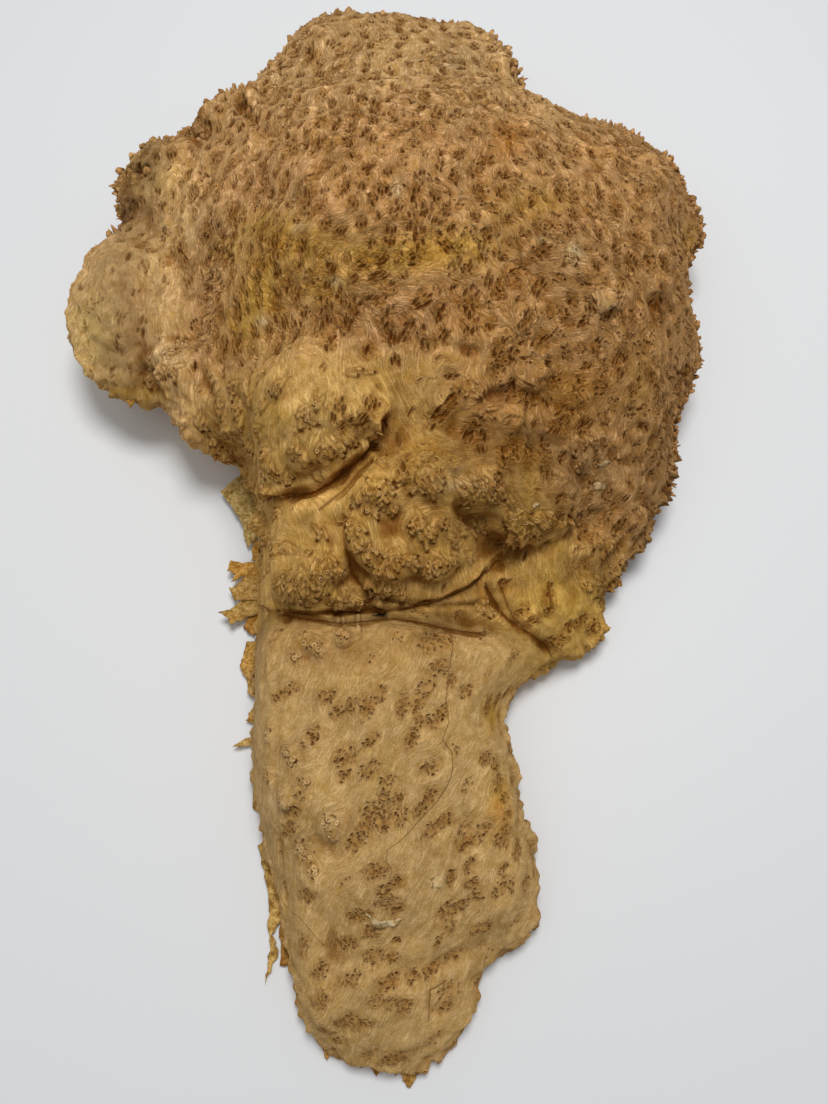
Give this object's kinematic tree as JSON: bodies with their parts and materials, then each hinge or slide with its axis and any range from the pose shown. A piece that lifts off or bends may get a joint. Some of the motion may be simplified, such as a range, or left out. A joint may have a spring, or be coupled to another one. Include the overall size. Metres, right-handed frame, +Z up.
{
  "type": "mallee burl",
  "caption": "Cap of mallee burl wood with a broad domed, dimpled and spiky head that narrows to a long stem, sawn flat underneath so that it rests on a bench.",
  "frame": {"origin": "on the sawn face, at the middle of the bounding box seen from above", "axes": "+Z up out of the sawn face, +Y from the stem tip towards the broad head, +X to the right when looking along +Y from above"},
  "size_m": [0.4254, 0.686, 0.15],
  "materials": {
    "burl_wood": "raw, bark taken off, dry and unpolished"
  },
  "bodies": {
    "root": {"burl": "burl_wood"}
  },
  "joints": []
}
